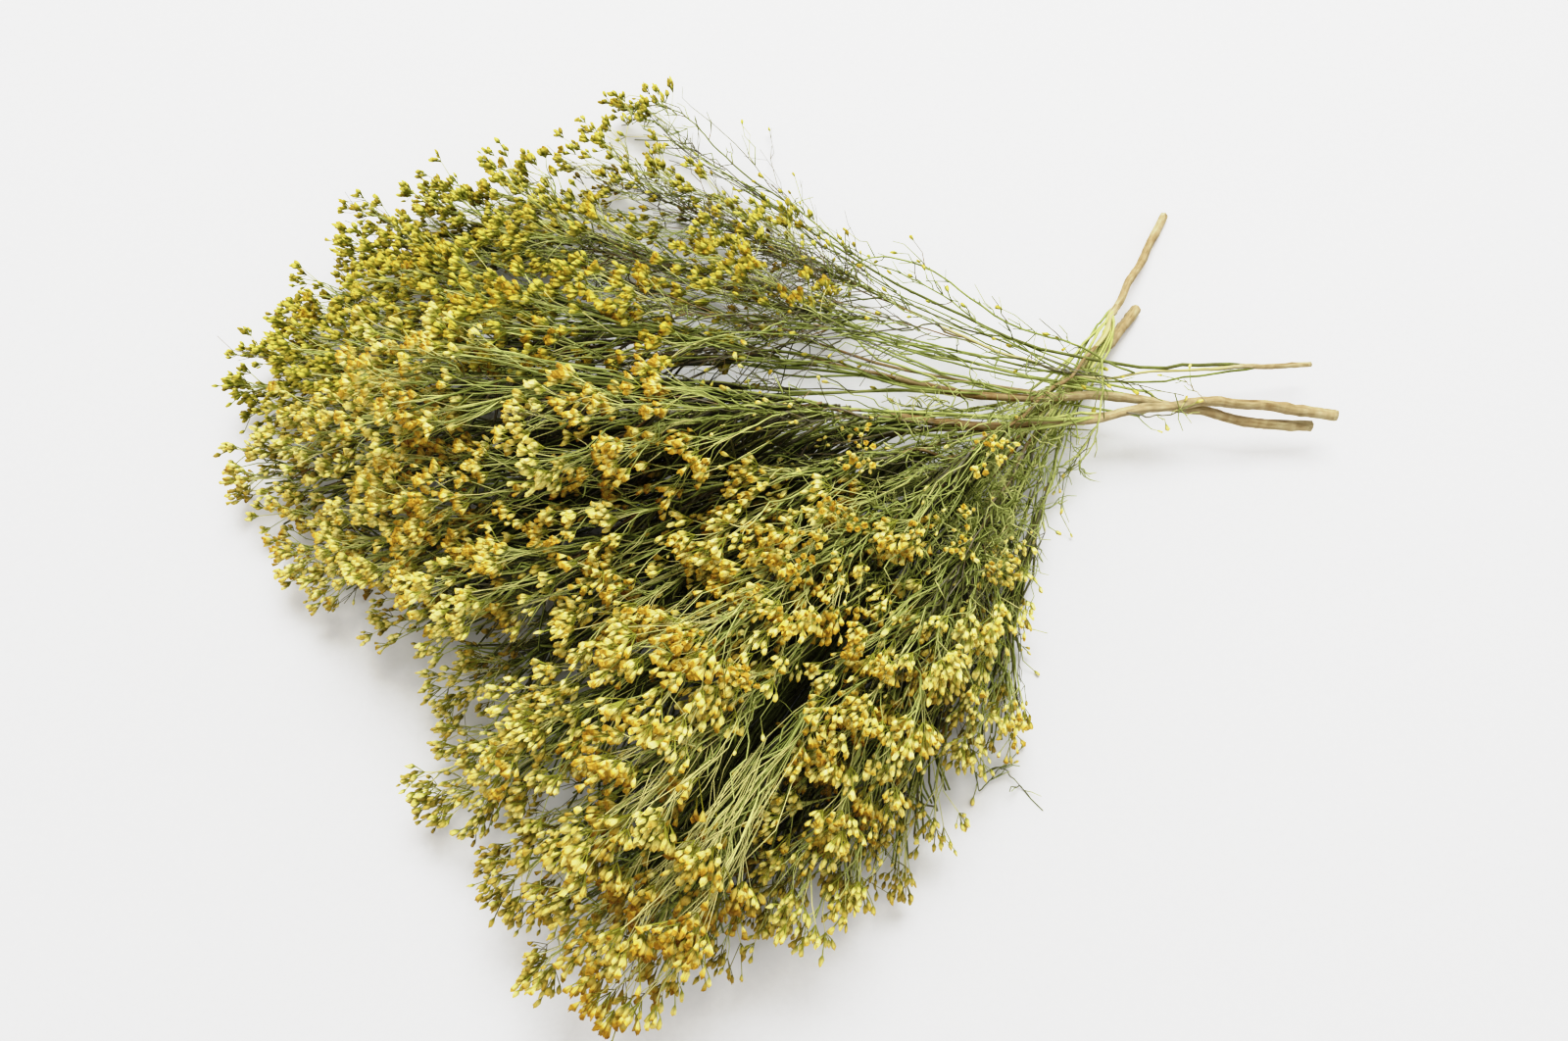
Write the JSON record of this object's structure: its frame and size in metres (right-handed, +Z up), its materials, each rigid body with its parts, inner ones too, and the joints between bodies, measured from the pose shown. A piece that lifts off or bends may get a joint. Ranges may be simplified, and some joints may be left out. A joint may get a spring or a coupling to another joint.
{
  "type": "dried broom bloom bunch",
  "caption": "Loose bunch of dried broom bloom lying on its side: cut woody stems that fan out into dense sprays of small golden buds.",
  "frame": {"origin": "middle of the bunch's outline seen from above, on the surface that it lies on", "axes": "+X along the stems of the larger fan towards their cut ends, +Z up from the surface, +Y across"},
  "size_m": [0.6182, 0.5216, 0.1716],
  "materials": {
    "woody_stems": "dry tan bark with fine lengthwise fibres and knots, matt; paler at the cut ends",
    "green_stems": "dried olive green fine stems and stalks, matt",
    "blooms_golden": "papery dried buds, yellow-green at the foot and golden at the tip, matt",
    "blooms_olive": "papery dried buds, olive at the foot and dull yellow at the tip, matt"
  },
  "bodies": {
    "root": {"stem_1": "woody_stems", "stem_2": "woody_stems", "stem_3": "green_stems", "stem_4": "woody_stems", "stem_5": "woody_stems", "spray_1_1": "blooms_golden", "spray_1_2": "blooms_golden", "spray_1_3": "blooms_golden", "spray_1_4": "blooms_golden", "spray_1_5": "blooms_golden", "spray_1_6": "blooms_golden", "spray_1_7": "blooms_golden", "spray_1_8": "blooms_golden", "spray_1_9": "blooms_golden", "spray_1_10": "blooms_golden", "spray_1_11": "blooms_golden", "spray_2_1": "blooms_olive", "spray_2_2": "blooms_olive", "spray_2_3": "blooms_olive", "spray_2_4": "blooms_olive", "spray_2_5": "blooms_olive", "spray_2_6": "blooms_olive", "spray_2_7": "blooms_olive", "spray_2_8": "blooms_olive", "spray_3_1": "blooms_olive", "spray_3_2": "blooms_olive", "spray_3_3": "blooms_olive", "spray_3_4": "blooms_olive", "spray_3_5": "blooms_olive", "spray_3_6": "blooms_olive", "spray_3_7": "blooms_olive", "spray_4_1": "blooms_golden", "spray_4_2": "blooms_golden", "spray_4_3": "blooms_golden", "spray_4_4": "blooms_golden", "spray_4_5": "blooms_golden", "spray_4_6": "blooms_golden", "spray_4_7": "blooms_golden", "spray_4_8": "blooms_golden", "spray_4_9": "blooms_golden", "spray_5_1": "blooms_golden", "spray_5_2": "blooms_golden", "spray_5_3": "blooms_golden", "spray_5_4": "blooms_golden", "spray_5_5": "blooms_golden", "spray_5_6": "blooms_golden", "spray_5_7": "blooms_golden", "spray_5_8": "blooms_golden", "spray_5_9": "blooms_golden", "spray_5_10": "blooms_golden", "spray_5_11": "blooms_golden", "spray_5_12": "blooms_golden", "spray_5_13": "blooms_golden"}
  },
  "joints": []
}
